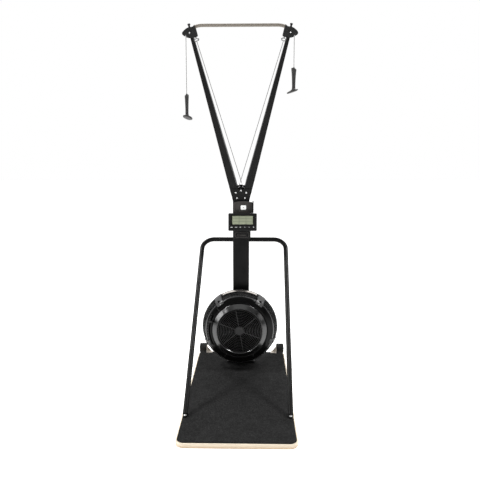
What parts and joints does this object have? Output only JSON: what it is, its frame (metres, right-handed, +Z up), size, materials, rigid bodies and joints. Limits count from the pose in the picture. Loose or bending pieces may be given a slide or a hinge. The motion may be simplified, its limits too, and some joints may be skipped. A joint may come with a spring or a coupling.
{
  "type": "ski ergometer",
  "caption": "Upright ski trainer on a plywood deck: a fan-braked column with a V of arms, two hanging pull handles, a tilting console with phone tray, a tube brace and transport wheels.",
  "frame": {"origin": "on the floor, at the middle of the footprint", "axes": "+Z up, +X to the user's right as they face the machine, +Y away from the user"},
  "size_m": [0.6635, 1.356, 2.1383],
  "materials": {
    "frame": "satin black powder coat",
    "tube": "brushed, warm grey",
    "plastic": "moulded, fine texture",
    "gloss": "gloss black",
    "grip": "soft matt grip",
    "mat": "charcoal, fine grain",
    "ply": "birch plywood, clear sealed",
    "rubber": "matt",
    "steel": "machined",
    "alloy": "cast and machined",
    "zinc": "zinc plated, faint straw tint",
    "mesh": "black perforated sheet",
    "cord": "braided, light grey",
    "elastic": "woven sleeve over elastic",
    "screen": "grey-green liquid crystal behind a clear lens",
    "holder": "matt moulded"
  },
  "bodies": {
    "root": {"column": "frame", "column_foot": "frame", "brace_tube": "frame", "brace_clamp": "frame", "front_v_plate": "frame", "rear_v_plate": "frame", "left_arm": "frame", "right_arm": "frame", "cross_tube": "tube", "left_head_front": "plastic", "left_head_rear": "plastic", "right_head_front": "plastic", "right_head_rear": "plastic", "left_peg": "plastic", "right_peg": "plastic", "fan_grille": "plastic", "console_bracket": "plastic", "fan_rear_shell": "gloss", "fan_front_cover": "gloss", "deck_mat": "mat", "plywood_deck": "ply", "left_pulley_pin": "steel", "right_pulley_pin": "steel", "left_cord_guide": "steel", "right_cord_guide": "steel", "centre_bolt": "steel", "front_bearing": "steel", "rear_bearing": "steel", "tilt_pin": "steel", "left_wheel_bracket": "zinc", "right_wheel_bracket": "zinc", "fan_screen": "mesh", "left_inner_cord": "cord", "right_inner_cord": "cord", "left_shock_cord": "elastic", "right_shock_cord": "elastic"},
    "flywheel": {"flywheel": "alloy", "axle": "steel"},
    "left_drum": {"left_drum": "plastic"},
    "right_drum": {"right_drum": "plastic"},
    "left_centre_pulley": {"left_centre_pulley": "plastic"},
    "right_centre_pulley": {"right_centre_pulley": "plastic"},
    "left_pulley": {"left_pulley": "plastic"},
    "right_pulley": {"right_pulley": "plastic"},
    "left_swing": {"left_cord_drop": "cord"},
    "right_swing": {"right_cord_drop": "cord"},
    "left_handle": {"left_handle": "grip"},
    "right_handle": {"right_handle": "grip"},
    "damper": {"damper": "plastic"},
    "console": {"console_body": "plastic", "console_screen": "screen", "phone_holder": "holder"},
    "left_wheel": {"left_wheel": "rubber"},
    "right_wheel": {"right_wheel": "rubber"},
    "button_1": {"button_1": "rubber"},
    "button_2": {"button_2": "rubber"},
    "button_3": {"button_3": "rubber"},
    "button_4": {"button_4": "rubber"},
    "button_5": {"button_5": "rubber"},
    "button_6": {"button_6": "rubber"}
  },
  "joints": [
    {"name": "flywheel_spin", "type": "hinge", "parent": "root", "child": "flywheel", "pos_m": [-0.006, 0.34, 0.292], "axis": [0, -1, 0], "continuous": true},
    {"name": "left_swing", "type": "hinge", "parent": "root", "child": "left_swing", "pos_m": [-0.307, 0.1105, 2.0864], "axis": [1, 0, 0], "range_deg": [-20, 5]},
    {"name": "left_pull", "type": "slide", "parent": "left_swing", "child": "left_handle", "axis": [0, 0, -1], "range_m": [-0.27, 0.9], "stiffness_N_per_m": 8, "springref_m": -0.08381, "deforming": ["left_cord_drop"]},
    {"name": "left_pulley_spin", "type": "hinge", "parent": "root", "child": "left_pulley", "pos_m": [-0.2845, 0.1105, 2.087], "axis": [0, -0.943, -0.3328], "continuous": true},
    {"name": "left_centre_spin", "type": "hinge", "parent": "root", "child": "left_centre_pulley", "pos_m": [0, 0.42769, 1.18838], "axis": [0, -0.943, -0.3328], "continuous": true},
    {"name": "left_drum_spin", "type": "hinge", "parent": "root", "child": "left_drum", "pos_m": [-0.006, 0.43, 0.292], "axis": [0, -1, 0], "continuous": true},
    {"name": "right_swing", "type": "hinge", "parent": "root", "child": "right_swing", "pos_m": [0.307, 0.1105, 2.0864], "axis": [1, 0, 0], "range_deg": [-20, 5]},
    {"name": "right_pull", "type": "slide", "parent": "right_swing", "child": "right_handle", "axis": [0, 0, -1], "range_m": [-0.125, 1.045], "stiffness_N_per_m": 8, "springref_m": -0.08381, "deforming": ["right_cord_drop"]},
    {"name": "right_pulley_spin", "type": "hinge", "parent": "root", "child": "right_pulley", "pos_m": [0.2845, 0.1105, 2.087], "axis": [0, -0.943, -0.3328], "continuous": true},
    {"name": "right_centre_spin", "type": "hinge", "parent": "root", "child": "right_centre_pulley", "pos_m": [0, 0.42769, 1.18838], "axis": [0, -0.943, -0.3328], "continuous": true},
    {"name": "right_drum_spin", "type": "hinge", "parent": "root", "child": "right_drum", "pos_m": [-0.006, 0.456, 0.292], "axis": [0, -1, 0], "continuous": true},
    {"name": "damper_turn", "type": "hinge", "parent": "root", "child": "damper", "pos_m": [-0.006, 0.28, 0.292], "axis": [0, -1, 0], "range_deg": [-10, 46]},
    {"name": "console_tilt", "type": "hinge", "parent": "root", "child": "console", "pos_m": [0.011, 0.388, 0.938], "axis": [1, 0, 0], "range_deg": [-3, 25]},
    {"name": "button_1_press", "type": "slide", "parent": "console", "child": "button_1", "axis": [0, 0.9903, -0.1392], "range_m": [0, 0.0015], "stiffness_N_per_m": 400, "springref_m": -0.0005},
    {"name": "button_2_press", "type": "slide", "parent": "console", "child": "button_2", "axis": [0, 0.9903, -0.1392], "range_m": [0, 0.0015], "stiffness_N_per_m": 400, "springref_m": -0.0005},
    {"name": "button_3_press", "type": "slide", "parent": "console", "child": "button_3", "axis": [0, 0.9903, -0.1392], "range_m": [0, 0.0015], "stiffness_N_per_m": 400, "springref_m": -0.0005},
    {"name": "button_4_press", "type": "slide", "parent": "console", "child": "button_4", "axis": [0, 0.9903, -0.1392], "range_m": [0, 0.0015], "stiffness_N_per_m": 400, "springref_m": -0.0005},
    {"name": "button_5_press", "type": "slide", "parent": "console", "child": "button_5", "axis": [0, 0.9903, -0.1392], "range_m": [0, 0.0015], "stiffness_N_per_m": 400, "springref_m": -0.0005},
    {"name": "button_6_press", "type": "slide", "parent": "console", "child": "button_6", "axis": [0, 0.9903, -0.1392], "range_m": [0, 0.0015], "stiffness_N_per_m": 400, "springref_m": -0.0005},
    {"name": "left_wheel_roll", "type": "hinge", "parent": "root", "child": "left_wheel", "pos_m": [-0.272, 0.643, 0.038], "axis": [1, 0, 0], "continuous": true},
    {"name": "right_wheel_roll", "type": "hinge", "parent": "root", "child": "right_wheel", "pos_m": [0.272, 0.643, 0.038], "axis": [1, 0, 0], "continuous": true}
  ],
  "couplings": [
    {"joint": "left_drum_spin", "follows": "left_pull", "rad_per_m": 45.455},
    {"joint": "left_centre_spin", "follows": "left_pull", "rad_per_m": 62.5},
    {"joint": "left_pulley_spin", "follows": "left_pull", "rad_per_m": 44.444},
    {"joint": "right_drum_spin", "follows": "right_pull", "rad_per_m": 45.455},
    {"joint": "right_centre_spin", "follows": "right_pull", "rad_per_m": -62.5},
    {"joint": "right_pulley_spin", "follows": "right_pull", "rad_per_m": -44.444}
  ]
}
